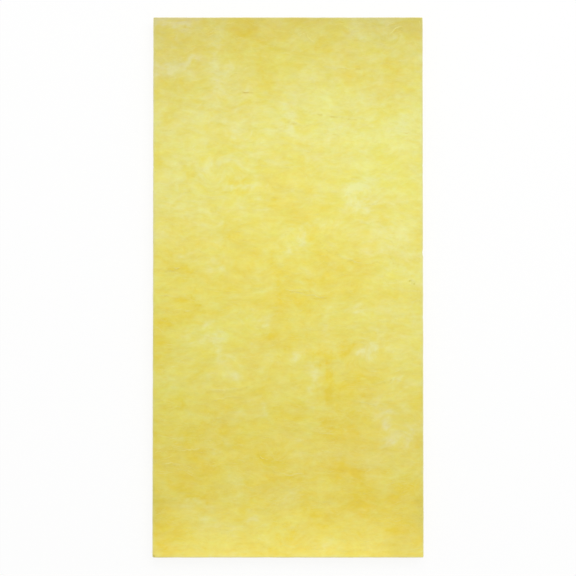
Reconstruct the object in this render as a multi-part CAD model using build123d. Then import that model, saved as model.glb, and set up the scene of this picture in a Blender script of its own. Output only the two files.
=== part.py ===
from build123d import *
import os
from math import atan2, degrees

# Rigid board of resin-bonded glass wool, without a facing, lying flat on its underside.
# Millimetres. X runs across the board, Y along it and Z up through its thickness.
# The origin is the middle of the underside. The foot is the end at -Y, the head the end at +Y.

# Trade size of the board
board_width = 609.6
board_length = 1219.2
board_thickness = 50.8

# The saw leaves square arrises that handling soon eases, and the corners a little more
arris_radius = 2.5
corner_extra_radius = 1.0

# The worst knock, on the right long edge: a tapering bite that fades out down the cut edge
worst_knock_from_foot = 686.0
worst_knock_length = 17.0
worst_knock_depth = 1.6
worst_knock_run = 36.0

# Lesser knocks of one size, at these distances from the foot
small_knock_length = 7.5
small_knock_depth = 0.9
small_knock_run = 18.0
small_knocks_on_right = (540.0, 883.0)
small_knocks_on_left = (879.0,)

# A tuft has been picked out of the upper face close to the right long edge
pick_from_right = 29.0
pick_from_foot = 619.0
pick_width = 11.0
pick_depth = 1.6

# The foot's left corner is chipped at the top
chip_radius = 4.0

RIGHT = 1
LEFT = -1


def radius_over(chord, rise):
    """Radius of the arc that stands so far above the middle of its chord."""
    return (chord * chord / 4 + rise * rise) / (2 * rise)


def blank():
    """The slab as it is cut from the cured mat, with its corners and all its arrises eased."""
    corner_radius = arris_radius + corner_extra_radius
    plan = RectangleRounded(board_width, board_length, corner_radius)
    slab = extrude(plan, amount=board_thickness)
    underside, *_, upper_face = slab.faces().filter_by(Axis.Z).sort_by(Axis.Z)
    return fillet(underside.edges() + upper_face.edges(), arris_radius)


def knock(side, from_foot, length, depth, run):
    """Round bar that bites a long edge to its full depth at the upper face.

    The bar leans away from the board going down, so that the bite narrows and runs out where
    the bar's surface leaves the cut edge, at the given run below the upper face.
    """
    radius = radius_over(length, depth)
    lean = degrees(atan2(depth, run))
    bar = Cylinder(radius, 4 * run)
    middle = Location(
        (
            side * (board_width / 2 + radius - depth),
            from_foot - board_length / 2,
            board_thickness,
        ),
        (0, -side * lean, 0),
    )
    return middle * bar


def face_pick():
    """Ball that dishes the upper face where the tuft is gone."""
    radius = radius_over(pick_width, pick_depth)
    middle = Pos(
        board_width / 2 - pick_from_right,
        pick_from_foot - board_length / 2,
        board_thickness + radius - pick_depth,
    )
    return middle * Sphere(radius)


def corner_chip():
    """Ball about the sharp corner that the slab had at its upper face before it was eased."""
    return Pos(-board_width / 2, -board_length / 2, board_thickness) * Sphere(chip_radius)


def fiberglass_board():
    """The slab with its knocks, its pick and its chip."""
    small = (small_knock_length, small_knock_depth, small_knock_run)
    bites = [
        knock(
            RIGHT,
            worst_knock_from_foot,
            worst_knock_length,
            worst_knock_depth,
            worst_knock_run,
        )
    ]
    bites += [knock(RIGHT, place, *small) for place in small_knocks_on_right]
    bites += [knock(LEFT, place, *small) for place in small_knocks_on_left]
    return blank() - (bites + [face_pick(), corner_chip()])


os.makedirs("parts", exist_ok=True)
export_step(Part() + fiberglass_board(), "parts/fiberglass_board.step")
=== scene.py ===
from math import cos, pi, radians, sin

import bpy
import numpy as np
from bpy.props import FloatProperty, FloatVectorProperty, IntProperty, PointerProperty
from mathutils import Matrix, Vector


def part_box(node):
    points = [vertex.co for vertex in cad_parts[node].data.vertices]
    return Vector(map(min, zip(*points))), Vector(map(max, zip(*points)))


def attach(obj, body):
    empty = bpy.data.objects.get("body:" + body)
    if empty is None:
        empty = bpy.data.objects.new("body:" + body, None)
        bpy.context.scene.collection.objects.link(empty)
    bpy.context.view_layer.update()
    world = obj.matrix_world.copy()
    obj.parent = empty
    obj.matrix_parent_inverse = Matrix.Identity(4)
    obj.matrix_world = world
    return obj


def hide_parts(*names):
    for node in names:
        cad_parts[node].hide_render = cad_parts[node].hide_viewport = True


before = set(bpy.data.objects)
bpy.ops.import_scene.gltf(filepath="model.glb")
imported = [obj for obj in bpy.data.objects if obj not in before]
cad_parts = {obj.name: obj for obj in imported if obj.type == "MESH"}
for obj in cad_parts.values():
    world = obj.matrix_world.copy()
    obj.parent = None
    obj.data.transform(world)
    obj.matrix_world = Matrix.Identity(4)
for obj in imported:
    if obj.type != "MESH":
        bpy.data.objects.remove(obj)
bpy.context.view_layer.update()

bl_info = {
    "name": "Glass wool board",
    "version": (1, 0, 0),
    "blender": (4, 5, 0),
    "location": "3D View > Sidebar > Glass wool",
    "description": "Builds the felted skin and loose fibres of an unfaced rigid glass wool board",
    "category": "Object",
}

# Shapes are worked out in millimetres and put into the meshes in metres
MM = 0.001
BOARD = "fiberglass_board"
UP = (0.0, 0.0, 1.0)
LOW, HIGH = (np.array(corner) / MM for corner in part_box(BOARD))
WIDTH, LENGTH, THICKNESS = HIGH - LOW


def linear(hex_colour):
    """The linear red, green and blue of an sRGB colour such as #E5DA73."""
    channels = np.array([int(hex_colour[i : i + 2], 16) for i in (1, 3, 5)]) / 255
    curve = np.where(channels <= 0.04045, channels / 12.92, ((channels + 0.055) / 1.055) ** 2.4)
    return tuple(float(channel) for channel in curve)


# What the photograph shows on the face, placed in millimetres from the middle of the board: the
# points along each mark, its half width, and its strength, which is rarely over 1.

# Wisps of pale wool that took up little resin
PALE_WISPS = (
    (((-303, 600), (-262, 597), (-228, 602)), 13, 1.5),
    (((-150, 600), (-168, 560), (-172, 530), (-165, 490), (-160, 445)), 10, 0.4),
    (((-302, 490), (-268, 496), (-238, 504), (-205, 516)), 9, 0.8),
    (((-140, 485), (-118, 492)), 7, 0.3),
    (((-125, 430), (-105, 400), (-112, 375)), 28, 0.35),
    (((2, 405), (6, 385), (0, 362)), 13, 0.85),
    (((18, 578), (40, 580)), 10, 0.4),
    (((150, 572), (165, 566)), 12, 0.45),
    (((95, 455), (115, 470)), 7, 0.4),
    (((-128, 335), (-105, 340)), 14, 0.55),
    (((-170, 372), (-148, 376)), 6, 0.4),
    (((262, 382), (266, 368)), 11, 0.45),
    (((236, 563), (252, 566)), 4, 0.5),
    (((-192, 255), (-188, 268), (-160, 280), (-130, 275), (-116, 256)), 10, 0.5),
    (((-142, 225), (-100, 222), (-78, 221), (-50, 230)), 6, 0.6),
    (((-66, 197), (-53, 178), (-38, 196)), 7, 0.45),
    (((148, 212), (170, 216), (176, 236)), 11, 0.85),
    (((152, 190), (172, 183), (197, 188)), 8, 0.95),
    (((163, 168), (166, 158)), 7, 0.5),
    (((-172, 128), (-158, 132)), 12, 0.45),
    (((28, 126), (28, 100)), 8, 0.9),
    (((6, 92), (24, 100), (40, 92)), 10, 0.65),
    (((28, 142), (44, 145), (54, 138)), 5, 0.5),
    (((108, 150), (112, 112)), 12, 0.3),
    (((150, 120), (172, 92), (205, 104)), 16, 0.4),
    (((150, 66), (235, 78)), 20, 0.25),
    (((-252, 78), (-228, 74), (-212, 62)), 12, 0.5),
    (((-164, 52), (-150, 50)), 11, 0.75),
    (((92, 46), (112, 50), (138, 50)), 5, 0.75),
    (((26, 22), (34, 18)), 9, 0.35),
    (((62, -8), (82, -6)), 6, 0.4),
    (((146, -52), (178, -46)), 9, 0.45),
    (((-180, -44), (-160, -40)), 8, 0.5),
    (((-68, -78), (-52, -76)), 10, 0.65),
    (((90, -60), (88, -90)), 7, 0.5),
    (((-184, -93), (-166, -92)), 6, 0.7),
    (((-156, -108), (-158, -152)), 10, 0.5),
    (((-246, -133), (-215, -128), (-190, -120)), 6, 0.5),
    (((-98, -132), (-84, -133)), 6, 0.65),
    (((32, -140), (24, -158)), 8, 0.7),
    (((52, -190), (58, -200)), 12, 0.7),
    (((54, -228), (58, -268)), 11, 0.55),
    (((156, -152), (168, -144), (186, -138), (226, -134)), 6, 0.8),
    (((170, -152), (184, -172), (192, -186)), 7, 0.7),
    (((197, -104), (208, -110)), 10, 0.45),
    (((-136, -197), (-108, -202)), 8, 0.4),
    (((-84, -255), (-62, -268), (-38, -296)), 5, 0.6),
    (((218, -218), (236, -209), (254, -205)), 4, 0.55),
    (((258, -232), (266, -222)), 8, 0.6),
    (((206, -274), (216, -300), (234, -322), (231, -345)), 14, 0.9),
    (((292, -308), (276, -322), (262, -342), (262, -362)), 9, 0.75),
    (((236, -292), (226, -312)), 8, 0.5),
    (((-256, -342), (-240, -340)), 6, 0.7),
    (((-144, -352), (-130, -372)), 8, 0.45),
    (((-182, -380), (-156, -381)), 8, 0.6),
    (((32, -350), (44, -352)), 9, 0.4),
    (((14, -378), (30, -384)), 12, 0.35),
    (((62, -390), (78, -388)), 9, 0.45),
    (((194, -424), (206, -426)), 6, 0.6),
    (((92, -452), (132, -452)), 4, 0.5),
    (((-112, -436), (-108, -466), (-118, -488)), 11, 0.4),
    (((-236, -492), (-206, -484), (-172, -500)), 6, 0.4),
    (((-210, -535), (-130, -545)), 24, 0.25),
    (((-84, -520), (-76, -526)), 9, 0.5),
    (((24, -536), (30, -552)), 8, 0.35),
    (((66, -578), (84, -582), (104, -572)), 6, 0.3),
)

# Patches and streaks where resin gathered and cured a deeper colour
DEEP_PATCHES = (
    (((-60, 560), (-58, 500), (-54, 440)), 10, 0.35),
    (((-84, 602), (-104, 576)), 16, 0.45),
    (((-262, 545), (-240, 560)), 16, 0.35),
    (((-118, 515), (-98, 518)), 6, 0.45),
    (((80, 552), (78, 532)), 9, 0.5),
    (((-56, 476), (-52, 452)), 8, 0.2),
    (((-66, 525), (-60, 505)), 8, 0.35),
    (((10, 322), (34, 318)), 8, 0.45),
    (((142, 484), (160, 480)), 9, 0.4),
    (((232, 512), (236, 486)), 9, 0.45),
    (((-250, 462), (-226, 458)), 7, 0.45),
    (((-224, 420), (-204, 416)), 7, 0.4),
    (((46, 362), (56, 358)), 7, 0.5),
    (((-228, 270), (-224, 252)), 7, 0.8),
    (((-292, 290), (-286, 278)), 10, 0.5),
    (((-92, 274), (-62, 283)), 6, 0.5),
    (((-136, 238), (-92, 240)), 5, 0.5),
    (((-150, 216), (-122, 210), (-96, 205)), 4, 0.5),
    (((-30, 188), (-14, 206)), 6, 0.5),
    (((28, 232), (40, 216), (36, 200)), 7, 0.35),
    (((72, 178), (92, 170)), 10, 0.45),
    (((2, 138), (14, 152), (42, 154), (56, 136), (48, 112)), 6, 0.45),
    (((150, 199), (198, 200)), 3, 0.5),
    (((200, 146), (232, 144)), 4, 0.5),
    (((-34, 82), (-30, 52), (-20, 22), (-14, 0)), 6, 0.45),
    (((-292, 60), (-252, 46), (-218, 30)), 7, 0.55),
    (((-242, -30), (-216, -24)), 6, 0.6),
    (((-206, -48), (-192, -46)), 6, 0.6),
    (((-286, -84), (-272, -88)), 8, 0.5),
    (((-296, -112), (-294, -150)), 12, 0.45),
    (((-62, -108), (-24, -122), (2, -140)), 6, 0.5),
    (((8, -116), (24, -108)), 7, 0.45),
    (((128, -132), (132, -146)), 9, 0.75),
    (((58, -148), (84, -157), (104, -152)), 5, 0.6),
    (((88, -176), (90, -212), (88, -252)), 7, 0.8),
    (((84, -312), (112, -322), (150, -318)), 11, 0.45),
    (((12, -210), (36, -224)), 6, 0.55),
    (((18, -264), (32, -266)), 9, 0.5),
    (((166, -243), (184, -242)), 7, 0.5),
    (((134, -292), (146, -286)), 8, 0.5),
    (((232, -264), (238, -276)), 8, 0.45),
    (((-242, -244), (-240, -268)), 8, 0.4),
    (((-94, -312), (-84, -308)), 9, 0.4),
    (((-62, -366), (-52, -390), (-36, -386), (-20, -366), (-14, -350)), 6, 0.5),
    (((122, -408), (142, -414), (164, -428)), 11, 0.75),
    (((156, -478), (162, -492), (176, -502)), 11, 0.75),
    (((100, -476), (118, -482)), 10, 0.4),
    (((-44, -547), (-22, -538), (2, -540), (16, -552)), 5, 0.5),
    (((-14, -566), (6, -572)), 9, 0.45),
    (((60, -526), (98, -534)), 11, 0.5),
    (((208, -418), (230, -414)), 6, 0.5),
    (((264, -452), (284, -456)), 8, 0.45),
    (((-142, -472), (-130, -470)), 6, 0.4),
    (((222, -560), (244, -558)), 10, 0.4),
    (((-236, -476), (-200, -474), (-176, -486)), 4, 0.4),
    (((14, -434), (22, -446)), 5, 0.5),
    (((-300, -550), (-286, -590)), 14, 0.3),
)

# Creases where one layer of the mat ends over the next: a groove in the relief with painted shade
# as a dark line in it, under a lip painted paler as a painted highlight
CREASES = (
    (((214, 567), (232, 569), (243, 582), (258, 584), (263, 570)), 3.5, 0.9),
    (((-138, 446), (-112, 440), (-76, 437)), 2.5, 0.8),
    (((24, 399), (50, 391), (92, 382), (150, 378), (192, 372)), 2.5, 0.75),
    (((-36, 362), (-18, 354)), 4, 0.7),
    (((250, 350), (274, 352), (297, 358)), 3, 0.6),
    (((-138, 470), (-124, 478), (-98, 479)), 2.5, 0.4),
    (((-158, 218), (-132, 214)), 3, 0.5),
    (((-238, 212), (-214, 213)), 3.5, 0.5),
    (((60, 104), (90, 82), (116, 66), (150, 52), (200, 50)), 3, 0.85),
    (((228, 82), (234, 62), (247, 44)), 3.5, 0.9),
    (((-2, -12), (30, -22), (72, -28), (118, -36)), 3, 0.5),
    (((-272, 42), (-236, 36)), 3, 0.45),
    (((-184, -238), (-140, -240), (-106, -228), (-80, -232), (-56, -235)), 3, 0.8),
    (((152, -122), (190, -121)), 3, 0.5),
    (((188, -229), (220, -215), (256, -206)), 3, 0.55),
    (((-262, -376), (-220, -372), (-180, -367), (-152, -376)), 3, 0.6),
    (((240, -195), (270, -194)), 3, 0.45),
    (((-70, -372), (-58, -391), (-40, -392)), 3, 0.5),
    (((96, -176), (92, -190), (100, -202)), 2.5, 0.4),
    (((-288, 352), (-270, 348), (-252, 352)), 2.5, 0.5),
    (((-208, 402), (-196, 412), (-188, 424)), 2.5, 0.4),
    (((-12, 376), (10, 368), (34, 362)), 2.5, 0.5),
    (((110, 494), (140, 490), (172, 493)), 2.0, 0.4),
    (((40, 575), (48, 560), (62, 545)), 2.0, 0.3),
    (((222, 120), (232, 100), (240, 78)), 2.5, 0.5),
    (((-10, -8), (24, -14), (62, -10)), 2.5, 0.5),
    (((-296, -24), (-270, -22), (-246, -28)), 2.5, 0.4),
    (((-262, -58), (-240, -54), (-214, -60)), 2.5, 0.4),
    (((150, -262), (184, -270), (210, -266)), 2.5, 0.4),
    (((-196, -262), (-160, -258), (-120, -250)), 2.5, 0.5),
    (((56, -330), (88, -336), (116, -334)), 2.5, 0.4),
    (((-292, -408), (-262, -402), (-240, -406)), 2.5, 0.4),
    (((-40, -420), (0, -428), (36, -424)), 2.5, 0.3),
    (((294, 604), (297, 582), (298, 548)), 1.5, 0.4),
)

# Tight curls in the lie of the wool: the middle, the reach, and the turn in degrees
CURLS = (
    ((105, -186), 16, 170),
    ((245, 572), 18, -150),
    ((-42, -372), 24, 110),
    ((-108, 462), 30, -80),
    ((-6, -556), 26, 90),
    ((30, 118), 34, 70),
    ((-152, 262), 34, -80),
    ((186, -156), 28, 90),
    ((232, -338), 30, -70),
    ((172, 205), 30, 70),
)

# How the face changes from the foot to the head: the place along the board, how pale the wool
# is against the middle of the board, how strong the painted light is, which is most at the foot
# and least at the head, and how much greener
TONE = (
    (-610, -0.3, 1.20, -0.024),
    (-560, -0.35, 1.10, -0.014),
    (-480, -0.42, 1.00, -0.012),
    (-300, -0.3, 0.98, 0.002),
    (-60, -0.25, 1.02, 0.008),
    (120, -0.05, 1.05, 0.006),
    (350, 0.3, 1.02, 0.024),
    (520, 0.1, 0.935, 0.005),
    (610, -0.05, 0.86, -0.010),
)

# Soft regions, wide and small, where the spray of resin ran thin or thick: the middle, the reach
# across and along the board, how much paler and how much greener
REGIONS = (
    ((240, -60), (75, 200), 0.4, 0.0),
    ((235, 150), (60, 60), 0.25, 0.0),
    ((130, 225), (60, 50), 0.1, 0.0),
    ((-240, 200), (75, 90), 0.45, 0.0),
    ((-150, -175), (110, 75), 0.45, 0.0),
    ((240, -275), (50, 50), 0.3, 0.0),
    ((-130, -400), (110, 50), -0.2, 0.0),
    ((-250, -380), (60, 90), -0.25, 0.0),
    ((110, -240), (55, 70), -0.4, 0.0),
    ((120, -450), (80, 60), -0.35, 0.0),
    ((-20, 90), (50, 70), -0.2, 0.0),
    ((85, 90), (50, 50), -0.5, 0.0),
    ((-110, 562), (85, 45), -0.4, -0.01),
    ((150, -540), (90, 40), -0.1, 0.0),
    ((-40, 240), (90, 40), -0.15, 0.0),
    ((-250, 520), (110, 130), 0.0, -0.03),
    ((240, 250), (100, 130), 0.15, 0.02),
    ((-260, -200), (90, 140), 0.0, 0.025),
    ((150, -380), (130, 130), 0.0, -0.025),
    ((240, 575), (85, 45), 0.45, -0.01),
    ((245, 455), (70, 55), -0.35, -0.01),
    ((-220, 355), (60, 55), -0.35, -0.01),
    ((115, 410), (95, 60), 0.3, 0.01),
    ((-110, 150), (60, 50), -0.15, 0.0),
    ((0, -50), (60, 45), -0.35, 0.0),
    ((-110, -575), (120, 35), 0.2, 0.01),
    ((-130, -60), (100, 60), 0.1, 0.015),
    ((120, -130), (80, 70), 0.0, -0.015),
    ((225, 25), (30, 28), -0.5, 0.0),
    ((280, 75), (30, 35), 0.5, 0.0),
    ((278, -80), (30, 35), 0.35, 0.0),
    ((-75, 15), (34, 40), 0.45, 0.0),
    ((-175, -178), (34, 30), 0.45, 0.0),
    ((-165, -276), (60, 28), 0.4, 0.0),
    ((125, 326), (30, 28), 0.4, 0.0),
    ((-25, -185), (34, 40), 0.35, 0.0),
    ((228, 376), (30, 28), 0.45, 0.0),
    ((-100, -527), (170, 28), 0.25, 0.0),
)

# Places painted duller, and two painted brighter: the middle, the reach across and along, and
# how much duller. The one at the chip in the foot's left corner is painted shade in its hollow.
DULLED_PLACES = (
    ((-275, 600), (46, 14), -0.05),
    ((-303, -455), (3, 7), 0.1),
    ((301, -508), (12, 42), 0.07),
    ((276, -528), (34, 32), 0.05),
    ((290, -482), (6, 5), 0.05),
    ((283, -512), (7, 4), 0.05),
    ((-299, -503), (20, 38), 0.09),
    ((-304, 120), (6, 60), 0.04),
    ((304, 420), (5, 70), 0.04),
    ((266, -596), (58, 36), 0.07),
    ((235, 606), (100, 36), 0.035),
    ((90, 606), (80, 30), 0.015),
    ((-303, -607), (4, 4), 0.2),
    ((250, -200), (90, 80), -0.015),
)

# The knocks on the long edges and the hollow of the picked tuft, as large as the board has them:
# side, distance from the foot, length, depth, and run down the cut edge
KNOCKS = (
    (1, 686.0, 17.0, 1.6, 36.0),
    (1, 540.0, 7.5, 0.9, 18.0),
    (1, 883.0, 7.5, 0.9, 18.0),
    (-1, 879.0, 7.5, 0.9, 18.0),
)
PICK_AT = np.array((WIDTH / 2 - 29.0, 619.0 - LENGTH / 2))
PICK_WIDTH = 11.0
PICK_DEPTH = 1.6
# The pits that the picked tuft left, from the middle of the hollow, painted darker as painted
# shade, for the skin has no pits of its own
SHADED_PITS = ((-1.3, 2.9), (9.0, -3.9))
PIT_RADIUS = 1.7
# Where wool was pulled up beside them, painted paler in its own colour and brighter as a painted
# highlight
FLECKS = ((4.2, 4.6), (0.4, -2.6), (9.2, 3.4))
FLECK_RADIUS = 2.2
CHIP_RADIUS = 4.0
# How far inside the outline the strands on the face stay
ARRIS_CLEAR = 3
# The board's weight flattens the felt of the underside to this share of its relief, and it is
# drawn in by so much more to clear the floor
PRESSED_SHARE = 0.4
UNDERSIDE_INSET = 0.45
# How far in from the outline the arrises are painted paler for dust on their loose fibres, and
# duller partly for that dust and partly as painted shade where they turn from the light
FRAYED_AND_SHADED_REACH = 3.0
# Rows of the skin's points come no closer together than this
LEAST_GAP = 0.3

# The noises of the felt: their period in millimetres, alike or along each axis, and their seed,
# with the number of octaves and their fall before it where there are several
WAVES = (170.0, 41)
SHORT_WAVES = ((90.0, 60.0, 60.0), 42)
TUFTS = ((44.0, 25.0, 25.0), 3, 0.6, 43)
FOLDS = ((52.0, 17.0, 30.0), 51)
MAT_LAYERS = ((38.0, 38.0, 5.5), 2, 0.6, 61)
SAW_WANDER = (120.0, 63)
WISP_BREAKS = ((30.0, 14.0, 14.0), 2, 0.7, 57)
SOILING = ((60.0, 60.0, 60.0), 3, 0.8, 97)
STRAND_TURNS = (70.0, 91)
# How far the slow and the quick noise move the lie of the wool
SLOW_DRIFT = 22.0
QUICK_DRIFT = 3.0

# The lamp over the head end, in metres: its place and its two sides
LAMP_AT = Vector((0.5, 1.3, 3.6))
LAMP_SIDES = (3.0, 2.0)
# Half of the floor's side, in metres
FLOOR_HALF = 8.0
# How the photograph was framed, in pixels: its width, and where it shows the board
PHOTO_WIDTH = 576
BOARD_WIDTH_SEEN = 270.3
BOARD_MIDDLE_SEEN = Vector((288.0, 286.45))
# How far from square on it looks at the board, towards the head, in degrees
TILT = 1.1
# Width of the camera's sensor, in millimetres
SENSOR = 36.0


def length_setting(name, description, metres, least=0.0):
    """A length that the user can set."""
    return FloatProperty(
        name=name, description=description, default=metres, min=least, unit="LENGTH"
    )


def count_setting(name, description, count):
    """A number of strands or beads that the user can set."""
    return IntProperty(name=name, description=description, default=count, min=1)


def colour_setting(name, description, hex_colour):
    """A colour that the user can set, given in sRGB."""
    return FloatVectorProperty(
        name=name, description=description, default=linear(hex_colour), size=3, subtype="COLOR"
    )


class BoardSkinSettings(bpy.types.PropertyGroup):
    """Sizes of the board's felted skin."""

    spacing: length_setting(
        "Spacing", "Distance between the points of the skin on the two faces", 0.0050, least=0.002
    )
    edge_spacing: length_setting(
        "Edge spacing", "Distance between the rows of points up the cut edges", 0.0022, least=0.001
    )
    arris: length_setting("Arris radius", "Radius of the eased arrises", 0.0025)
    relief: length_setting("Relief", "Height of the tallest tufts over the mean of the face", 0.0012)
    crease_depth: length_setting(
        "Crease depth", "Depth of the creases between layers of the mat", 0.0010
    )


class LooseFibreSettings(bpy.types.PropertyGroup):
    """Numbers and sizes of the fibres that stand or lie free of the felt."""

    on_face: count_setting("Fibres on the face", "How many loose strands lie on the upper face", 5600)
    on_edges: count_setting(
        "Fibres on the edges", "How many cut strands stand out of the cut edges", 4600
    )
    in_creases: count_setting(
        "Fibres in a crease", "How many strands lie in each crease and along its lip", 11
    )
    in_tuft: count_setting(
        "Fibres in the tuft", "How many strands stand loose where the tuft was picked", 36
    )
    beads: count_setting("Beads", "How many beads of resin sit on the worn long edges", 110)
    thickness: length_setting(
        "Strand thickness", "Thickness of a strand, which is many single fibres stuck together", 0.00024
    )


class WoolColourSettings(bpy.types.PropertyGroup):
    """Colours of the glass wool."""

    mean: colour_setting("Mean wool", "Wool with the usual share of resin", "#E6DA6F")
    pale: colour_setting("Pale wool", "Wisps that took up little resin", "#E8E499")
    deep: colour_setting("Deep wool", "Patches where resin gathered", "#E5CF49")
    edge_pale: colour_setting("Cut edge", "Cut ends of the fibres", "#F0E694")
    edge_deep: colour_setting("Cut edge gap", "Gaps between the layers on the cut edges", "#DDCE7E")
    fibre: colour_setting("Loose fibre", "Strands with hardly any resin", "#F4EFB8")
    resinous: colour_setting("Resinous fibre", "Strands and beads heavy with resin", "#D3BE5E")
    bead: colour_setting("Bead", "Beads of cured resin with dust on them", "#A08B4E")


class StudioSettings(bpy.types.PropertyGroup):
    """Light, floor and camera."""

    lens: FloatProperty(
        name="Lens",
        description="Focal length of the camera in millimetres",
        default=85.0,
        unit="CAMERA",
    )
    dome: FloatProperty(
        name="Dome light",
        description="Strength of the even light from all round",
        default=0.66,
    )
    lamp: FloatProperty(
        name="Lamp",
        description="Power of the soft lamp over the head end",
        default=65.0,
        unit="POWER",
    )


# Large primes that scatter the corners of the noise's lattice over its random vectors
SCATTER = (73856093, 19349663, 83492791)
# What brings the strongest values of the noise near -1 and 1
NOISE_GAIN = 1.6


def blended(points, period, seed):
    """Smooth noise of about -1 to 1 at points (n, 3).

    Random vectors sit at the corners of a lattice whose cells measure period. Each corner's
    vector is dotted with the way from the corner to the point, and the eight products are
    blended by the fade curve 6t^5 - 15t^4 + 10t^3 along each axis.
    """
    draws = np.random.default_rng(seed).normal(size=(4096, 3))
    arrows = draws / np.linalg.norm(draws, axis=1, keepdims=True)
    cell = points / np.asarray(period, float)
    base = np.floor(cell).astype(np.int64)
    part = cell - base
    fade = part**3 * (part * (6 * part - 15) + 10)
    total = np.zeros(len(points))
    for corner in np.ndindex(2, 2, 2):
        at = (base + corner) * SCATTER
        arrow = arrows[np.bitwise_xor.reduce(at, axis=1) % len(arrows)]
        weight = np.where(corner, fade, 1 - fade).prod(1)
        total += weight * (arrow * (part - corner)).sum(1)
    return total * NOISE_GAIN


def layered(points, period, octaves, fall, seed):
    """Weighted mean of noises, each at half the last one's period and fall times its weight."""
    period = np.asarray(period, float)
    total, weights = 0.0, 0.0
    for octave in range(octaves):
        weight = fall**octave
        total = total + weight * blended(points, period / 2**octave, seed + octave)
        weights += weight
    return total / weights


def to_path(x, y, path):
    """Distance from each point to the nearest of the straight runs between the path's points."""
    path = np.asarray(path, float)
    nearest = np.full(x.shape, np.inf)
    for (x0, y0), (x1, y1) in zip(path[:-1], path[1:]):
        run = (x1 - x0) ** 2 + (y1 - y0) ** 2
        along = np.clip(((x - x0) * (x1 - x0) + (y - y0) * (y1 - y0)) / run, 0, 1)
        off = np.hypot(x - x0 - along * (x1 - x0), y - y0 - along * (y1 - y0))
        nearest = np.minimum(nearest, off)
    return nearest


def marks(places, strokes, spread=1.0, lift=0.0):
    """Sum over strokes of strength times exp(-(distance / half width)^2) at places (n, 2).

    spread multiplies every half width, and lift moves every stroke along +Y by so many of them.
    A stroke adds nothing far outside three half widths.
    """
    total = np.zeros(len(places))
    for path, half_width, strength in strokes:
        shift = (0.0, lift * half_width)
        reach = 3 * half_width * spread
        near = (places > np.min(path, 0) + shift - reach) & (places < np.max(path, 0) + shift + reach)
        near = np.flatnonzero(near.all(1))
        x, y = (places[near] - shift).T
        off = to_path(x, y, path) / (half_width * spread)
        total[near] += strength * np.exp(-(off**2))
    return total


def spot(places, middle, reach):
    """exp(-(distance / reach)^2) at places (n, 2), with one reach or one along each axis."""
    return np.exp(-((((places - middle) / reach) ** 2).sum(1)))


# How far marks stray from where they are drawn, in millimetres, and the seed of the noise that
# moves them: wisps and patches, wide regions, and creases and the places painted duller
WISPS_STRAY = (28.0, 31)
REGIONS_STRAY = (70.0, 81)
CREASES_STRAY = (8.0, 71)
STRAY_PERIOD = 34.0


def ragged(points, reach, seed):
    """Places (n, 2) of the points, moved by quick noise so that what is drawn there is ragged."""
    stir = [layered(points, STRAY_PERIOD, 3, 0.75, seed + 5 * axis) for axis in range(2)]
    return points[:, :2] + reach * np.stack(stir, 1)


def creased(points):
    """How far each point lies in a crease and how far on the lip above it, from 0 to about 1."""
    places = ragged(points, *CREASES_STRAY)
    return marks(places, CREASES), marks(places, CREASES, lift=1.5)


def felt_flow(points):
    """The points as the wool lies: moved by slow and quick noise, then turned about each curl.

    The turn is the curl's angle times exp(-(distance / reach)^2), so that it is whole at the
    middle and gone at twice the reach. Only the upper face has curls.
    """
    slow = [layered(points, 95.0, 2, 0.5, 11 + axis) for axis in range(3)]
    quick = [blended(points, 24.0, 21 + axis) for axis in range(3)]
    flow = points + SLOW_DRIFT * np.stack(slow, 1) + QUICK_DRIFT * np.stack(quick, 1)
    upper = points[:, 2] > THICKNESS / 2
    for (x, y), reach, turn in CURLS:
        across, along = flow[:, 0] - x, flow[:, 1] - y
        angle = radians(turn) * np.exp(-(across**2 + along**2) / reach**2) * upper
        flow[:, 0] = x + np.cos(angle) * across - np.sin(angle) * along
        flow[:, 1] = y + np.sin(angle) * across + np.cos(angle) * along
    return flow


def face_relief(points, flow, settings):
    """Height of the felt over its mean plane on the faces, in millimetres.

    Slow unevenness, plus tufts drawn out across the board, plus folds that fall off with |noise|
    and so meet in ridges, less the creases, whose upper lips stand a little proud.
    """
    height = settings.relief / MM
    depth = settings.crease_depth / MM
    waves = 0.45 * blended(points, *WAVES) + 0.3 * blended(points, *SHORT_WAVES)
    tufts = 0.4 * layered(flow, *TUFTS)
    folds = 0.12 * (0.5 - np.abs(blended(flow, *FOLDS)) * 2)
    upper = points[:, 2] > THICKNESS / 2
    crease, lip = creased(points)
    return height * (waves + tufts + folds) + depth * upper * (0.5 * lip - crease)


def edge_relief(points):
    """Height of the cut edges over their mean plane, in millimetres.

    Layers a few millimetres thick stand out and fall back by noise that is long across the
    edge and short through the thickness, on the slow wander of the saw.
    """
    return 0.6 * layered(points, *MAT_LAYERS) + 0.2 * blended(points, *SAW_WANDER)


def dished(points, centre, radius):
    """Points that lie inside a ball are moved straight out to its surface."""
    away = points - centre
    distance = np.linalg.norm(away, axis=1, keepdims=True)
    out = centre + away * radius / np.maximum(distance, 0.01)
    return np.where(distance < radius, out, points)


def radius_over(chord, rise):
    """Radius of the arc that stands so far above the middle of its chord."""
    return (chord * chord / 4 + rise * rise) / (2 * rise)


def hollowed(points):
    """Points of the upper face, with those over the pick moved down to the ball that it leaves."""
    radius = radius_over(PICK_WIDTH, PICK_DEPTH)
    return dished(points, (*PICK_AT, THICKNESS + radius - PICK_DEPTH), radius)


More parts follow.
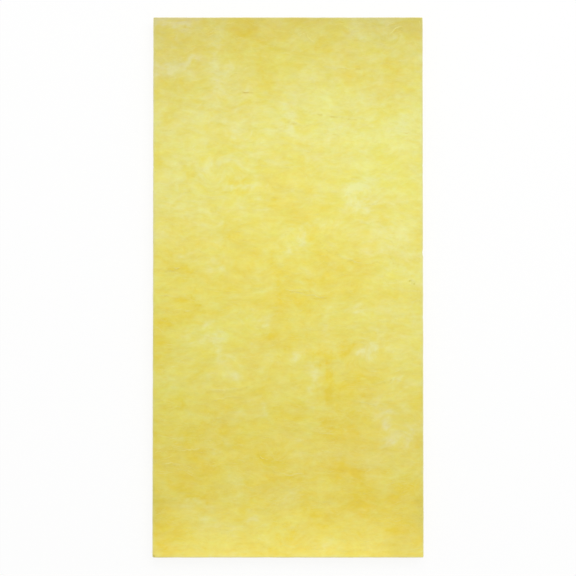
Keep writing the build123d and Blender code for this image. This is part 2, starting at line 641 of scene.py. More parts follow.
def knocked(points, clear=0.0):
    """Points of the long edges, pushed in where a knock has bitten the edge.

    Each knock is the side of a round bar that leans out going down, so the edge's x is at most
    the bar's axis less the root of (radius^2 - distance along the edge^2), plus clear.
    """
    points = points.copy()
    for side, from_foot, length, depth, run in KNOCKS:
        radius = radius_over(length, depth)
        along = points[:, 1] - (from_foot - LENGTH / 2)
        axis = WIDTH / 2 + radius - depth + (THICKNESS - points[:, 2]) * depth / run
        reach = axis - np.sqrt(np.maximum(radius**2 - along**2, 0)) + clear
        bitten = (np.abs(along) < length) & (side * points[:, 0] > reach)
        points[bitten, 0] = side * reach[bitten]
    return points


def settled(places, settings):
    """Points (..., 3) on the upper face's felt at places (..., 2)."""
    level = places.reshape(-1, 2)
    flat = np.column_stack([level, np.full(len(level), THICKNESS)])
    flat[:, 2] += face_relief(flat, felt_flow(flat), settings)
    return hollowed(flat).reshape(*places.shape[:-1], 3)


def stations(low, high, spacing, arris, extra=()):
    """Places along one axis: close together over the arrises, even between them, plus extra.

    Of places closer together than the least gap, only one is kept.
    """
    turn = arris * np.array([0.0, 0.25, 0.6, 1.0])
    count = round((high - low - 2 * arris) / spacing)
    even = np.linspace(low + arris, high - arris, count + 1)
    places = np.sort(np.concatenate([low + turn, even, high - turn, extra]))
    return places[np.concatenate([[True], np.diff(places) > LEAST_GAP])]


def box_lattice(xs, ys, zs):
    """Closed quad skin of a block with a point at every station of its six sides.

    Each side is a grid of station numbers. Triples of numbers that two sides share become one
    point, so the skin has no seam. Returns the points, the quads and each quad's side.
    """
    axes = (xs, ys, zs)
    triples, quads, sides = [], [], []
    count = 0
    for axis in range(3):
        second, third = (axis + 1) % 3, (axis + 2) % 3
        for end in (0, len(axes[axis]) - 1):
            i, j = np.meshgrid(
                np.arange(len(axes[second])), np.arange(len(axes[third])), indexing="ij"
            )
            triple = np.empty(i.shape + (3,), int)
            triple[..., axis], triple[..., second], triple[..., third] = end, i, j
            number = count + np.arange(i.size).reshape(i.shape)
            quad = np.stack(
                [number[:-1, :-1], number[1:, :-1], number[1:, 1:], number[:-1, 1:]], -1
            ).reshape(-1, 4)
            triples.append(triple.reshape(-1, 3))
            quads.append(quad if end else quad[:, ::-1])
            sides.append(np.full(len(quad), 2 * axis + (end > 0)))
            count += i.size
    numbers, place = np.unique(np.concatenate(triples), axis=0, return_inverse=True)
    points = np.stack([np.asarray(axes[k])[numbers[:, k]] for k in range(3)], 1)
    return points, place.reshape(-1)[np.concatenate(quads)], np.concatenate(sides)


# Where each side of the block lies on its flat map: for the map's two axes in turn, the axis of
# the block that runs along it, where it starts and how far it reaches
SIDE_MAP = {
    0: ((2, 0.862, 0.05), (1, 0.004, 0.992)),
    1: ((2, 0.806, 0.05), (1, 0.004, 0.992)),
    2: ((2, 0.918, 0.05), (0, 0.506, 0.49)),
    3: ((2, 0.918, 0.05), (0, 0.004, 0.49)),
    4: ((0, 0.546, 0.254), (1, 0.004, 0.992)),
    5: ((0, 0.004, 0.536), (1, 0.004, 0.992)),
}


def lay_flat(mesh, block, quads, sides):
    """Gives the mesh its flat map: each side of the block by itself, the upper face largest."""
    share = (block - LOW) / (HIGH - LOW)
    flat = np.empty(quads.shape + (2,), np.float32)
    for side, map_axes in SIDE_MAP.items():
        own = sides == side
        for k, (axis, start, reach) in enumerate(map_axes):
            flat[own, :, k] = start + reach * share[quads[own], axis]
    mesh.uv_layers.new(name="OFBake").data.foreach_set("uv", flat.ravel())


def threads(lines, thickness, outward, press=0.4):
    """Closed three-sided tubes along lines (n, stations, 3), pointed at both ends.

    At a station the ring's points stand at three even turns about the line, one of them outward,
    as far out as half the thickness times the root of sin(pi t), with t from 0 to 1 on the line.
    The ring is pressed flat along outward, to the share press, as a strand half sunk in the felt.
    """
    count, steps, _ = lines.shape
    way = np.gradient(lines, axis=1)
    way /= np.linalg.norm(way, axis=2, keepdims=True)
    side = np.cross(way, outward[:, None])
    side /= np.linalg.norm(side, axis=2, keepdims=True)
    rise = press * np.cross(side, way)
    out = 0.5 * thickness[:, None, None] * np.sqrt(np.sin(pi * np.linspace(0, 1, steps)))[:, None]
    turns = pi / 2 + 2 * pi / 3 * np.arange(3)
    rings = [lines + out * (cos(turn) * side + sin(turn) * rise) for turn in turns]
    middle = np.stack(rings, 2)[:, 1:-1].reshape(count, -1, 3)
    points = np.concatenate([lines[:, :1], middle, lines[:, -1:]], 1)
    last = 3 * (steps - 2) + 1
    faces = []
    for k in range(3):
        after = (k + 1) % 3
        faces += [(0, 1 + k, 1 + after), (last, last - 3 + after, last - 3 + k)]
        for ring in range(steps - 3):
            low, high = 1 + 3 * ring, 4 + 3 * ring
            faces += [(low + k, high + k, high + after), (low + k, high + after, low + after)]
    every = np.asarray(faces) + (last + 1) * np.arange(count)[:, None, None]
    return points.reshape(-1, 3), every.reshape(-1, 3), last + 1


def skin_stations(settings):
    """Stations of the skin along X, Y and Z, closer together at the pick and at the knocks."""
    spacing, arris = settings.spacing / MM, settings.arris / MM
    near_pick = PICK_WIDTH * np.linspace(-0.6, 1.1, 11)
    # The pits lie to the right of the hollow's middle, so the last few are for X alone
    about_pick = near_pick[:-4]
    near_knocks = [
        from_foot - LENGTH / 2 + length * step
        for _, from_foot, length, _, _ in KNOCKS
        for step in (-0.5, -0.25, 0.0, 0.25, 0.5)
    ]
    extra = np.concatenate([PICK_AT[1] - about_pick, PICK_AT[1] + about_pick, near_knocks])
    xs = stations(LOW[0], HIGH[0], spacing, arris, PICK_AT[0] + near_pick)
    ys = stations(LOW[1], HIGH[1], spacing, arris, extra)
    zs = stations(LOW[2], HIGH[2], settings.edge_spacing / MM, arris)
    return xs, ys, zs


def skin_shape(block, settings):
    """Points of the felted skin from the points of the square block round it.

    Each goes out from the nearest point of the core, which is the block less its arrises all
    round, by the arris radius plus the relief. cut is how level that way out is, from 0 on the
    faces to 1 on the cut edges, and shares the relief between the two. Also returns the rounded
    block without relief, the lie of the wool and cut.
    """
    arris = settings.arris / MM
    core = np.clip(block, LOW + arris, HIGH - arris)
    way = (block - core) / np.linalg.norm(block - core, axis=1, keepdims=True)
    flat = core + way * arris
    flow = felt_flow(flat)
    cut = np.hypot(way[:, 0], way[:, 1])
    relief = face_relief(flat, flow, settings) * (1 - cut) + edge_relief(flat) * cut
    underside = way[:, 2] < -0.5
    relief[underside] = PRESSED_SHARE * relief[underside] - UNDERSIDE_INSET
    skin = hollowed(knocked(flat + way * relief[:, None]))
    skin = dished(skin, (LOW[0], LOW[1], HIGH[2]), CHIP_RADIUS)
    skin[:, 2] = np.maximum(skin[:, 2], 0.0)
    return skin, flat, flow, cut


def skin_tones(flat, flow, cut):
    """What the wool's material reads at each point: how pale, how much painted light and dulling it
    takes, and how much greener.

    Each starts from its tone along the board, whose light is painted light. What is drawn on the
    upper face is added: wisps less patches, both broken up by noise along the flow, plus the soft
    regions, plus the lips of the creases less the creases, which are a painted highlight on each
    lip and painted shade in each crease. The painted light is a little stronger to the right and
    falls off with the square of the distance from the middle line. It is less in the places listed
    as duller, in the pits as painted shade, and on the arrises, partly for dust on their loose
    fibres and partly as painted shade, whose share is exp(-(distance from the outline / reach)^2).
    It is more on the flecks of pulled-up wool, as a painted highlight.
    """
    upper = flat[:, 2] > THICKNESS / 2
    places = ragged(flat, *WISPS_STRAY)
    broken = np.clip(1.0 + 1.6 * layered(flow, *WISP_BREAKS), 0, 2)
    wisps = marks(places, PALE_WISPS, spread=1.3) * broken
    drawn = wisps - marks(places, DEEP_PATCHES, spread=1.4) * broken
    places = ragged(flat, *REGIONS_STRAY)
    green = 0.0
    for middle, reach, paler, greener in REGIONS:
        share = spot(places, middle, reach)
        drawn += paler * share
        green += greener * share
    crease, lip = creased(flat)

    station, pale_tone, painted_light_tone, green_tone = np.transpose(TONE)
    along, across = flat[:, 1], flat[:, 0] / WIDTH
    # The lips of the creases are painted paler as a painted highlight, and the creases deeper as
    # painted shade
    pale = upper * (0.75 * drawn + 0.2 * lip - 0.2 * crease)
    pale += np.interp(along, station, pale_tone)
    green = np.interp(along, station, green_tone) + upper * (green - 0.012 * wisps)
    # Painted light: most at the foot, least at the head, a little stronger to the right and falling off
    # across the board
    painted_light_and_dulling = np.interp(along, station, painted_light_tone) * (1 + 0.03 * across - 0.13 * across**2)
    # Painted highlight on the lips of the creases and painted shade in the creases, and the wisps a
    # little darker in their own colour
    painted_light_and_dulling = painted_light_and_dulling * (1 + upper * (0.015 * lip - 0.03 * crease - 0.004 * wisps))
    # The listed places are painted duller; in the chip at the foot's left corner this is painted shade
    places = ragged(flat, *CREASES_STRAY)
    for middle, reach, duller in DULLED_PLACES:
        painted_light_and_dulling = painted_light_and_dulling * (1 - duller * spot(places, middle, reach))

    from_pick = flat[:, :2] - PICK_AT
    # The pits are painted darker and deeper in colour, as painted shade
    pit_shade = upper * sum(spot(from_pick, pit, PIT_RADIUS) for pit in SHADED_PITS)
    teased_and_lit = upper * sum(spot(from_pick, fleck, FLECK_RADIUS) for fleck in FLECKS)
    # The flecks are painted brighter as a painted highlight; the pits darker as painted shade
    painted_light_and_dulling = painted_light_and_dulling * (1 + 0.11 * teased_and_lit - 0.24 * pit_shade)
    # The arrises are painted paler for dust on their loose fibres, and duller partly for that dust and
    # partly as painted shade where they turn from the light
    inset = (np.array((WIDTH, LENGTH)) / 2 - np.abs(flat[:, :2])).min(1)
    fray_and_shade = np.exp(-((inset / FRAYED_AND_SHADED_REACH) ** 2)) * (1 - cut)
    soiled = np.clip(layered(flat, *SOILING) + 0.1, 0, 1)
    painted_light_and_dulling = painted_light_and_dulling * (1 - (0.08 + 0.2 * soiled) * fray_and_shade)
    pale = pale + 0.8 * fray_and_shade + 0.6 * teased_and_lit - 1.2 * pit_shade
    return {"pale": pale, "painted_light_and_dulling": painted_light_and_dulling, "greener": green}


def add_piece(name, points, faces, material, attributes, smooth=True):
    """A mesh object at the origin from points in millimetres, riding on the board."""
    mesh = bpy.data.meshes.new(name)
    mesh.from_pydata((points * MM).tolist(), [], faces.tolist())
    mesh.polygons.foreach_set("use_smooth", np.full(len(mesh.polygons), smooth))
    for key, values in attributes.items():
        vector = values.ndim == 2
        layer = mesh.attributes.new(key, "FLOAT_VECTOR" if vector else "FLOAT", "POINT")
        layer.data.foreach_set("vector" if vector else "value", values.astype(np.float32).ravel())
    mesh.materials.append(material)
    mesh.update()
    piece = bpy.data.objects.new(name, mesh)
    bpy.context.scene.collection.objects.link(piece)
    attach(piece, "root")
    return piece


def arcs(middle, run, angle):
    """Level lines (n, stations, 2): the middle plus the run times the cosine and sine of the angle."""
    return middle[:, None] + run[..., None] * np.stack([np.cos(angle), np.sin(angle)], -1)


def add_strands(name, lines, thickness, pale, material, outward=None, press=0.4):
    """A piece of strands along lines (n, stations, 3), each as thick and as pale as is given."""
    if outward is None:
        outward = np.tile(UP, (len(lines), 1))
    points, faces, each = threads(lines, thickness, outward, press)
    add_piece(name, points, faces, material, {"pale": np.repeat(pale, each)}, smooth=False)


def add_node(tree, kind, inputs=None, stops=None, **settings):
    """Adds a node, makes its settings, and fills or links its inputs; stops are a ramp's.

    A node given as an input stands for its first output.
    """
    made = tree.nodes.new(kind)
    for name, value in settings.items():
        setattr(made, name, value)
    for key, value in (inputs or {}).items():
        if isinstance(value, bpy.types.Node):
            value = value.outputs[0]
        if isinstance(value, bpy.types.NodeSocket):
            tree.links.new(value, made.inputs[key])
        else:
            made.inputs[key].default_value = value
    for number, (place, colour) in enumerate(stops or ()):
        ramp = made.color_ramp.elements
        stop = ramp[number] if number < 2 else ramp.new(place)
        stop.position = place
        stop.color = (*colour, 1.0)
    return made


def new_material(name):
    """An empty node material and its tree."""
    material = bpy.data.materials.new(name)
    material.use_nodes = True
    material.node_tree.nodes.clear()
    return material, material.node_tree


def grained(tree, vector, grains):
    """Weighted sum of noises about 0, each given by its grain in millimetres and its weight."""
    total = 0.0
    for grain, weight in grains:
        cells = add_node(
            tree,
            "ShaderNodeVectorMath",
            {0: vector, 1: [1 / size for size in grain]},
            operation="MULTIPLY",
        )
        noise = add_node(
            tree, "ShaderNodeTexNoise", {"Vector": cells, "Scale": 1.0, "Detail": 1.0}
        )
        even = add_node(tree, "ShaderNodeMath", {0: noise, 1: 0.5}, operation="SUBTRACT")
        total = add_node(
            tree, "ShaderNodeMath", {0: even, 1: weight, 2: total}, operation="MULTIPLY_ADD"
        )
    return total


def millimetres(tree):
    """Object coordinates in millimetres."""
    place = add_node(tree, "ShaderNodeTexCoord").outputs["Object"]
    return add_node(tree, "ShaderNodeVectorMath", {0: place, "Scale": 1 / MM}, operation="SCALE")


# A material's roughness runs over its noise from this far below 0 to as far above
NOISE_REACH = 0.3

# The mottling of the face, from clouds of resin down to wisps, bundles and strands: the grain
# in millimetres along each axis, and the weight
CLOUDS = (((230.0, 150.0, 150.0), 0.5), ((118.0, 70.0, 70.0), 0.65))
WISPS = (((62.0, 34.0, 34.0), 0.95), ((28.0, 15.0, 15.0), 1.1))
BUNDLES = (((13.0, 8.0, 8.0), 0.85), ((6.5, 4.2, 4.2), 0.5))
STRANDS = (((26.0, 2.0, 2.0), 0.8), ((9.0, 0.6, 0.6), 1.1))
# Patches that lie a little duller or brighter, whatever their resin
DULLNESS = (((55.0, 26.0, 26.0), 1.0), ((21.0, 10.0, 10.0), 0.9), ((8.0, 4.5, 4.5), 0.6))
# Patches whose yellow leans to green or to orange
TINTS = (((120.0, 80.0, 80.0), 1.0), ((38.0, 22.0, 22.0), 0.9), ((13.0, 8.0, 8.0), 0.9))
# The layers of the mat and the cut ends in them, seen on the cut edges
LAYERS = (((90.0, 90.0, 7.0), 0.4), ((45.0, 45.0, 2.4), 0.9))
CUT_ENDS = (((8.0, 8.0, 1.2), 0.9), ((2.5, 2.5, 0.8), 0.6))


def face_colour(tree, colours, place, flow, fine, pale, painted_light_and_dulling, greener):
    """Colour of the face: a ramp over how pale it is, drawn and mottled, times light and tint.

    The ramp is read at half of what is drawn and mottled, about its middle. Only the green
    channel takes the tint, so that the yellow leans to green or to orange.
    """
    coarse = grained(tree, flow, CLOUDS + WISPS)
    mottle = add_node(tree, "ShaderNodeMath", {0: fine, 1: 0.6, 2: coarse}, operation="MULTIPLY_ADD")
    toned = add_node(tree, "ShaderNodeMath", {0: mottle, 1: pale}, operation="ADD")
    paleness = add_node(
        tree, "ShaderNodeMath", {0: toned, 1: 0.5, 2: 0.5}, operation="MULTIPLY_ADD"
    )
    wool = add_node(
        tree,
        "ShaderNodeValToRGB",
        {"Fac": paleness},
        stops=[(0.0, colours.deep), (1.0, colours.pale), (0.5, colours.mean)],
    )
    patches = grained(tree, place, DULLNESS)
    glow = add_node(tree, "ShaderNodeMath", {0: patches, 1: 0.08, 2: painted_light_and_dulling}, operation="MULTIPLY_ADD")
    tint = grained(tree, place, TINTS)
    green = add_node(tree, "ShaderNodeMath", {0: tint, 1: 0.07, 2: glow}, operation="MULTIPLY_ADD")
    green = add_node(tree, "ShaderNodeMath", {0: green, 1: greener}, operation="ADD")
    light = add_node(tree, "ShaderNodeCombineXYZ", {0: glow, 1: green, 2: glow})
    return add_node(tree, "ShaderNodeVectorMath", {0: wool, 1: light}, operation="MULTIPLY")


def cut_colour(tree, colours, layers):
    """Colour of the cut edges: a ramp over the layers of the mat, seen end on."""
    depth = add_node(tree, "ShaderNodeMath", {0: layers, 1: 1.0, 2: 0.62}, operation="MULTIPLY_ADD")
    return add_node(
        tree,
        "ShaderNodeValToRGB",
        {"Fac": depth},
        stops=[(0.1, colours.edge_deep), (1.0, colours.fibre), (0.55, colours.edge_pale)],
    )


def wool_material(colours):
    """Resin-bonded glass wool: fine glass fibres laid down as felt, sprayed with resin, cured.

    Matte with a faint sheen. Uneven resin mottles it from pale straw to deep yellow, along the
    swirling lie of the wool. On the cut edges its layers show as fine dark and pale lines.
    """
    material, tree = new_material("resin-bonded glass wool")
    place = millimetres(tree)
    flow = add_node(tree, "ShaderNodeAttribute", attribute_name="flow").outputs["Vector"]
    pale, painted_light_and_dulling, greener, cut = (
        add_node(tree, "ShaderNodeAttribute", attribute_name=name).outputs["Fac"]
        for name in ("pale", "painted_light_and_dulling", "greener", "cut")
    )
    fine = grained(tree, flow, BUNDLES + STRANDS)
    face = face_colour(tree, colours, place, flow, fine, pale, painted_light_and_dulling, greener)
    layers = grained(tree, place, LAYERS + CUT_ENDS)
    edge = cut_colour(tree, colours, layers)
    colour = add_node(tree, "ShaderNodeMixRGB", {"Fac": cut, "Color1": face, "Color2": edge})

    cut_height = add_node(tree, "ShaderNodeMath", {0: layers, 1: cut}, operation="MULTIPLY")
    height = add_node(
        tree, "ShaderNodeMath", {0: cut_height, 1: 1.5, 2: fine}, operation="MULTIPLY_ADD"
    )
    bump = add_node(
        tree, "ShaderNodeBump", {"Height": height, "Strength": 0.5, "Distance": 0.0009}
    )
    dull = add_node(
        tree,
        "ShaderNodeMapRange",
        {
            "Value": fine,
            "From Min": -NOISE_REACH,
            "From Max": NOISE_REACH,
            "To Min": 0.82,
            "To Max": 0.98,
        },
    )
    shader = add_node(
        tree,
        "ShaderNodeBsdfPrincipled",
        {
            "Base Color": colour,
            "Roughness": dull,
            "Normal": bump,
            "IOR": 1.45,
            "Specular IOR Level": 0.25,
            "Sheen Weight": 0.08,
            "Sheen Roughness": 0.6,
        },
    )
    add_node(tree, "ShaderNodeOutputMaterial", {"Surface": shader})
    return material


def coated_material(name, grains, stops, smooth, rough, ior, specular):
    """Glass or resin coloured by a ramp over how pale it is plus noise of these grains.

    The roughness goes from smooth to rough as that noise rises.
    """
    material, tree = new_material(name)
    noise = grained(tree, millimetres(tree), grains)
    pale = add_node(tree, "ShaderNodeAttribute", attribute_name="pale").outputs["Fac"]
    paleness = add_node(tree, "ShaderNodeMath", {0: pale, 1: noise}, operation="ADD")
    colour = add_node(tree, "ShaderNodeValToRGB", {"Fac": paleness}, stops=stops)
    dull = add_node(
        tree,
        "ShaderNodeMapRange",
        {
            "Value": noise,
            "From Min": -NOISE_REACH,
            "From Max": NOISE_REACH,
            "To Min": smooth,
            "To Max": rough,
        },
    )
    shader = add_node(
        tree,
        "ShaderNodeBsdfPrincipled",
        {"Base Color": colour, "Roughness": dull, "IOR": ior, "Specular IOR Level": specular},
    )
    add_node(tree, "ShaderNodeOutputMaterial", {"Surface": shader})
    return material


def fibre_material(colours):
    """Loose strand of glass fibre: drawn glass, thinly coated with cured resin.

    A little glossier than the felt and paler, each strand with its own share of resin, which
    comes and goes along it.
    """
    drops = (((5.0, 5.0, 5.0), 0.6),)
    stops = [
        (0.0, colours.resinous),
        (1.0, colours.fibre),
        (0.25, colours.mean),
        (0.7, colours.pale),
    ]
    return coated_material(
        "loose glass fibre", drops, stops, smooth=0.45, rough=0.7, ior=1.52, specular=0.35
    )


def bead_material(colours):
    """Bead of cured phenolic resin: a hard amber drop with the dust that handling leaves on it.

    Smoother than the wool, and mottled from amber to brown.
    """
    dust = (((1.5, 1.5, 1.5), 0.8), ((9.0, 9.0, 9.0), 0.8))
    stops = [(0.0, colours.bead), (1.0, colours.mean), (0.4, colours.resinous)]
    return coated_material(
        "bead of cured resin", dust, stops, smooth=0.35, rough=0.65, ior=1.55, specular=0.4
    )


def floor_material():
    """Matte white studio paper, which the camera sees as white and which keeps the shadow.

    The camera sees it whiter the farther it is from the board.
    """
    material, tree = new_material("white studio paper")
    paper = add_node(tree, "ShaderNodeBsdfDiffuse", {"Color": (*linear("#F8F8F7"), 1.0)})
    white = add_node(tree, "ShaderNodeEmission", {"Color": (1.0, 1.0, 1.0, 1.0), "Strength": 1.0})
    place = add_node(tree, "ShaderNodeTexCoord").outputs["Object"]
    away = add_node(tree, "ShaderNodeVectorMath", {0: place}, operation="LENGTH").outputs["Value"]
    whiter = add_node(
        tree,
        "ShaderNodeMapRange",
        {"Value": away, "From Min": 0.8, "From Max": 3.0, "To Min": 0.86, "To Max": 1.0},
    )
    share = add_node(tree, "ShaderNodeMath", {0: seen(tree), 1: whiter}, operation="MULTIPLY")
    mixed = add_node(tree, "ShaderNodeMixShader", {0: share, 1: paper, 2: white})
    add_node(tree, "ShaderNodeOutputMaterial", {"Surface": mixed})
    return material


def seen(tree):
    """1 for rays from the camera, off a glossy surface or through glass, and 0 for the others."""
    path = add_node(tree, "ShaderNodeLightPath").outputs
    some = add_node(
        tree,
        "ShaderNodeMath",
        {0: path["Is Camera Ray"], 1: path["Is Glossy Ray"]},
        operation="MAXIMUM",
    )
    return add_node(
        tree, "ShaderNodeMath", {0: some, 1: path["Is Transmission Ray"]}, operation="MAXIMUM"
    )


def lay_floor(scene):
    """A level square of paper about the origin."""
    mesh = bpy.data.meshes.new("studio_floor")
    corners = [(-1, -1), (1, -1), (1, 1), (-1, 1)]
    mesh.from_pydata([(FLOOR_HALF * x, FLOOR_HALF * y, 0.0) for x, y in corners], [], [range(4)])
    mesh.materials.append(floor_material())
    floor = bpy.data.objects.new("studio_floor", mesh)
    scene.collection.objects.link(floor)


def light_dome(scene, studio):
    """Even white light from all round, which the camera and reflections see as full white."""
    world = bpy.data.worlds.new("soft dome")
    world.use_nodes = True
    tree = world.node_tree
    tree.nodes.clear()
    strength = add_node(
        tree, "ShaderNodeMapRange", {"Value": seen(tree), "To Min": studio.dome, "To Max": 1.0}
    )
    sky = add_node(
        tree, "ShaderNodeBackground", {"Color": (1.0, 1.0, 1.0, 1.0), "Strength": strength}
    )
    add_node(tree, "ShaderNodeOutputWorld", {"Surface": sky})
    scene.world = world


def hang_lamp(scene, studio):
    """A wide soft lamp over the head end, aimed at the origin."""
    lamp = bpy.data.lights.new("head_lamp", "AREA")
    lamp.shape = "RECTANGLE"
    lamp.size, lamp.size_y = LAMP_SIDES
    lamp.energy = studio.lamp
    head_lamp = bpy.data.objects.new("head_lamp", lamp)
    head_lamp.location = LAMP_AT
    head_lamp.rotation_euler = (-LAMP_AT).to_track_quat("-Z", "Y").to_euler()
    head_lamp.visible_camera = False
    scene.collection.objects.link(head_lamp)


def aim_camera(scene, studio):
    """A camera over the board that frames its upper face as the photograph does."""
    metres_per_pixel = WIDTH * MM / BOARD_WIDTH_SEEN
    distance = PHOTO_WIDTH * metres_per_pixel * studio.lens / SENSOR
    off = (BOARD_MIDDLE_SEEN - Vector((PHOTO_WIDTH, PHOTO_WIDTH)) / 2) * metres_per_pixel
    tilt = radians(TILT)
    camera_data = bpy.data.cameras.new("camera")
    camera_data.lens = studio.lens
    camera_data.sensor_width = SENSOR
    camera = bpy.data.objects.new("camera", camera_data)
    camera.rotation_euler = (tilt, 0.0, 0.0)
    camera.location = (
        -off.x,
        off.y - distance * sin(tilt),
        THICKNESS * MM + distance * cos(tilt),
    )
    scene.collection.objects.link(camera)
    scene.camera = camera


class WOOL_OT_board_skin(bpy.types.Operator):
    """Builds the board's felted skin in place of the plain solid"""

    bl_idname = "wool.board_skin"
    bl_label = "Board skin"

    def execute(self, context):
        settings = context.scene.board_skin
        block, quads, sides = box_lattice(*skin_stations(settings))
        skin, flat, flow, cut = skin_shape(block, settings)
        attributes = {"flow": flow, "cut": cut, **skin_tones(flat, flow, cut)}
        material = wool_material(context.scene.wool_colours)
        piece = add_piece("felted_board", skin, quads, material, attributes)
        lay_flat(piece.data, block, quads, sides)
        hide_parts(BOARD)
        return {"FINISHED"}


class WOOL_OT_face_fibres(bpy.types.Operator):
    """Lays loose strands on the upper face, most of them across the board"""

    bl_idname = "wool.face_fibres"
    bl_label = "Face fibres"

    def execute(self, context):
        draw = np.random.default_rng(5)
        in_wisp, steps, margin = 7, 6, 12.0
        lengthwise_spread, sideways_spread = 9.0, 2.6
        wisps = context.scene.loose_fibres.on_face // in_wisp
        count = wisps * in_wisp

        # Each wisp is a few strands of about the same turn and bend beside each other
        wisp_middle = draw.uniform(LOW[:2] + margin, HIGH[:2] - margin, (wisps, 2))
        start = np.column_stack([wisp_middle, np.full(wisps, THICKNESS)])
        wisp_turn = 0.55 * blended(start, *STRAND_TURNS) + draw.normal(0, 0.2, wisps)
        wisp_bend = draw.normal(0, 0.014, wisps)
        turn = np.repeat(wisp_turn, in_wisp) + draw.normal(0, 0.13, count)
        bend = np.repeat(wisp_bend, in_wisp) + draw.normal(0, 0.006, count)
        lengthwise, sideways = draw.normal(0, 1, (2, count))
        way = lengthwise_spread * lengthwise * np.stack([np.cos(turn), np.sin(turn)])
        way += sideways_spread * sideways * np.stack([-np.sin(turn), np.cos(turn)])
        middle = np.repeat(wisp_middle, in_wisp, axis=0) + way.T

        # A strand is a bowed line, moved inwards where it would reach past the arris
        length = draw.gamma(3.0, 5.0, count) + 8
        run = np.linspace(-0.5, 0.5, steps) * length[:, None]
        route = arcs(middle, run, turn[:, None] + bend[:, None] * run)
        route -= np.maximum(route.max(1, keepdims=True) - HIGH[:2] + ARRIS_CLEAR, 0)
        route -= np.minimum(route.min(1, keepdims=True) - LOW[:2] - ARRIS_CLEAR, 0)
        lines = settled(route, context.scene.board_skin)
        lines[..., 2] += draw.gamma(1.5, 0.03, (count, 1)) * np.sin(pi * np.linspace(0, 1, steps))
        thickness = context.scene.loose_fibres.thickness / MM * draw.uniform(0.6, 1.4, count)
        pale = draw.beta(3.0, 4.0, count)
        material = fibre_material(context.scene.wool_colours)
        add_strands("face_fibres", lines, thickness, pale, material)
        return {"FINISHED"}


class WOOL_OT_crease_fibres(bpy.types.Operator):
    """Lays dark strands heavy with resin in the creases of the face, as painted shade, and pale ones
    along their lips, as a painted highlight
    """

    bl_idname = "wool.crease_fibres"
    bl_label = "Crease fibres"

    def execute(self, context):
        draw = np.random.default_rng(7)
        in_crease = context.scene.loose_fibres.in_creases
        count, steps = in_crease * len(CREASES), 12
        on_lip = np.arange(count) % 3 == 0

        # A strand follows a stretch of its crease, whose corners are smoothed by averaging each
        # point with its neighbours, or of the lip a little above it
        route = np.empty((count, steps, 2))
        for strand in range(count):
            path, half_width, _ = CREASES[strand // in_crease]
            corners = np.asarray(path, float)
            to_corner = np.concatenate([[0.0], np.cumsum(np.hypot(*np.diff(corners, axis=0).T))])
            share = draw.uniform(0.25, 0.6)
            run = to_corner[-1] * (np.linspace(0, share, steps) + draw.uniform(0, 1 - share))
            bent = np.stack([np.interp(run, to_corner, corners[:, k]) for k in range(2)], 1)
            for _ in range(3):
                bent[1:-1] = (bent[:-2] + 2 * bent[1:-1] + bent[2:]) / 4
            bent[:, 1] += half_width * (draw.normal(0, 0.4) + 1.3 * on_lip[strand])
            route[strand] = bent

        # The creases stray from where they are drawn, and the strands go back the other way
        level = route.reshape(-1, 2)
        flat = np.column_stack([level, np.full(len(level), THICKNESS)])
        level = 2 * level - ragged(flat, *CREASES_STRAY)
        level = np.clip(level, LOW[:2] + ARRIS_CLEAR, HIGH[:2] - ARRIS_CLEAR)
        lines = settled(level.reshape(route.shape), context.scene.board_skin)
        thickness = draw.uniform(0.4, 1.1, count)
        # Strands in a crease are dark, as painted shade, and those on its lip pale, as a painted
        # highlight
        pale = np.where(on_lip, draw.uniform(0.4, 0.65, count), draw.uniform(0.0, 0.15, count))
        material = fibre_material(context.scene.wool_colours)
        add_strands("crease_fibres", lines, thickness, pale, material, press=0.2)
        return {"FINISHED"}


class WOOL_OT_pulled_tuft(bpy.types.Operator):
    """Leaves loose strands standing over the hollow where a tuft was picked from the face"""

    bl_idname = "wool.pulled_tuft"
    bl_label = "Pulled tuft"

    def execute(self, context):
        draw = np.random.default_rng(8)
        count, steps = context.scene.loose_fibres.in_tuft, 7
        fleck = np.array(FLECKS)[draw.integers(0, len(FLECKS), count)]
        middle = PICK_AT + fleck + draw.normal(0, 1.1, (count, 2))
        turn = draw.normal(0.5, 0.7, count)
        length = draw.uniform(3.5, 8.0, count)
        station = np.linspace(-0.5, 0.5, steps)
        angle = turn[:, None] + draw.normal(0, 0.9, (count, 1)) * station
        lines = settled(arcs(middle, length[:, None] * station, angle), context.scene.board_skin)
        lines[..., 2] += draw.uniform(0.1, 0.8, (count, 1)) * np.cos(pi * station)
        thickness = draw.uniform(0.15, 0.3, count)
        pale = draw.uniform(0.4, 0.75, count)
        material = fibre_material(context.scene.wool_colours)
        add_strands("pulled_tuft", lines, thickness, pale, material)
        return {"FINISHED"}


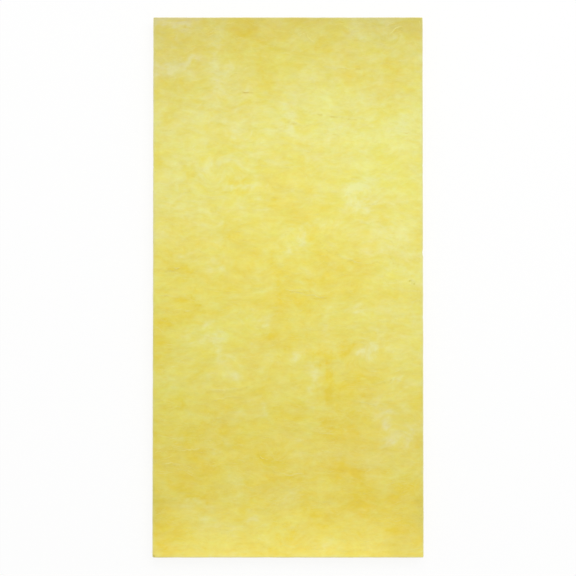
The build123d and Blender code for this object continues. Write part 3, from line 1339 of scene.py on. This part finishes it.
class WOOL_OT_resin_beads(bpy.types.Operator):
    """Sets beads of cured resin and grit on the worn margins of the long edges"""

    bl_idname = "wool.resin_beads"
    bl_label = "Resin beads"

    def execute(self, context):
        draw = np.random.default_rng(9)
        count, steps = context.scene.loose_fibres.beads, 5
        # Over half of them lie in the worn place near the foot's right corner
        worn_share, worn_at, worn_spread = 0.55, -506, 18
        inset, half_run = 3.2, 590
        worn = draw.random(count) < worn_share
        side = np.where(worn, 1.0, draw.choice([-1.0, 1.0], count))
        across = side * (WIDTH / 2 - inset - draw.gamma(1.2, 3.0, count))
        near_worn = draw.normal(worn_at, worn_spread, count)
        along = np.where(worn, near_worn, draw.uniform(-1, 1, count) * half_run)
        turn = draw.uniform(0, pi, count)
        length = draw.uniform(0.5, 1.4, count)
        run = length[:, None] * np.linspace(-0.5, 0.5, steps)
        angle = np.repeat(turn[:, None], steps, axis=1)
        route = arcs(np.stack([across, along], 1), run, angle)
        lines = settled(route, context.scene.board_skin)
        thickness = draw.uniform(0.4, 0.9, count)
        pale = draw.uniform(-0.1, 0.1, count)
        material = bead_material(context.scene.wool_colours)
        add_strands("resin_beads", lines, thickness, pale, material)
        return {"FINISHED"}


class WOOL_OT_edge_fibres(bpy.types.Operator):
    """Leaves cut strands standing a little out of the four cut edges"""

    bl_idname = "wool.edge_fibres"
    bl_label = "Edge fibres"

    def execute(self, context):
        draw = np.random.default_rng(6)
        count, steps = context.scene.loose_fibres.on_edges, 6
        free_share, corner_clear, arris_clear = 0.3, 6, 2.0
        on_long = draw.random(count) < LENGTH / (LENGTH + WIDTH)
        side = draw.choice([-1.0, 1.0], count)
        reach = np.where(on_long, LENGTH, WIDTH) / 2 - corner_clear
        middle = draw.uniform(-1, 1, count) * reach
        level = draw.uniform(4.0, THICKNESS - 3.0, count)
        length = draw.gamma(2.5, 5.0, count) + 5
        station = np.linspace(-0.5, 0.5, steps)
        run = station * length[:, None]
        slope = draw.normal(0, 0.12, count)[:, None]

        # A free strand leaves the edge by a parabola, the others bow out between two ends in it
        free = draw.random(count)[:, None] < free_share
        bow = draw.gamma(2.0, 0.28, count)[:, None]
        parabola, hump = (station + 0.5) ** 2 * 1.8 - 0.2, np.cos(pi * station) ** 2 - 0.25
        out = bow * np.where(free, parabola, hump)
        along = middle[:, None] + run
        along -= np.maximum(along.max(1) - reach, 0)[:, None]
        along -= np.minimum(along.min(1) + reach, 0)[:, None]
        height = level[:, None] + slope * run
        height += draw.normal(0, 0.5, count)[:, None] * np.cos(pi * station)
        height = np.clip(height, arris_clear, THICKNESS - arris_clear)

        # On a long edge the strand runs along Y and stands out along X, on an end the other way
        wall = side[:, None] * np.where(on_long, WIDTH / 2, LENGTH / 2)[:, None] * np.ones(steps)
        long_rows = on_long[:, None]
        x, y = np.where(long_rows, wall, along), np.where(long_rows, along, wall)
        lines = np.stack([x, y, height], -1)
        relief = edge_relief(lines.reshape(-1, 3)).reshape(count, steps) + out
        outward = np.stack([side * on_long, side * ~on_long, np.zeros(count)], 1)
        lines += outward[:, None] * relief[..., None]
        lines = knocked(lines.reshape(-1, 3), clear=0.4).reshape(count, steps, 3)
        thickness = context.scene.loose_fibres.thickness / MM * draw.uniform(0.6, 1.4, count)
        outward[:, 2] = 0.2
        pale = draw.beta(2.0, 1.6, count)
        material = fibre_material(context.scene.wool_colours)
        add_strands("edge_fibres", lines, thickness, pale, material, outward)
        return {"FINISHED"}


class WOOL_OT_studio(bpy.types.Operator):
    """Lays the pale floor, sets the soft light and aims the camera down on the board"""

    bl_idname = "wool.studio"
    bl_label = "Studio"

    def execute(self, context):
        scene = context.scene
        lay_floor(scene)
        light_dome(scene, scene.wool_studio)
        hang_lamp(scene, scene.wool_studio)
        aim_camera(scene, scene.wool_studio)
        scene.view_settings.view_transform = "Standard"
        return {"FINISHED"}


class WOOL_PT_sidebar(bpy.types.Panel):
    """Lists the board's operators and settings."""

    bl_idname = "WOOL_PT_sidebar"
    bl_label = "Glass wool board"
    bl_space_type = "VIEW_3D"
    bl_region_type = "UI"
    bl_category = "Glass wool"

    def draw(self, context):
        for operator in OPERATORS:
            self.layout.operator(operator.bl_idname)
        for name in SETTINGS:
            group = getattr(context.scene, name)
            box = self.layout.box()
            for key in group.__annotations__:
                box.prop(group, key)


OPERATORS = (
    WOOL_OT_board_skin,
    WOOL_OT_face_fibres,
    WOOL_OT_crease_fibres,
    WOOL_OT_pulled_tuft,
    WOOL_OT_resin_beads,
    WOOL_OT_edge_fibres,
    WOOL_OT_studio,
)
SETTINGS = {
    "board_skin": BoardSkinSettings,
    "loose_fibres": LooseFibreSettings,
    "wool_colours": WoolColourSettings,
    "wool_studio": StudioSettings,
}
CLASSES = (*SETTINGS.values(), *OPERATORS, WOOL_PT_sidebar)


def register():
    for made in CLASSES:
        bpy.utils.register_class(made)
    for name, group in SETTINGS.items():
        setattr(bpy.types.Scene, name, PointerProperty(type=group))


def unregister():
    for name in SETTINGS:
        delattr(bpy.types.Scene, name)
    for made in reversed(CLASSES):
        bpy.utils.unregister_class(made)


def main():
    register()
    for operator in OPERATORS:
        family, name = operator.bl_idname.split(".")
        getattr(getattr(bpy.ops, family), name)()


if __name__ == "__main__":
    main()
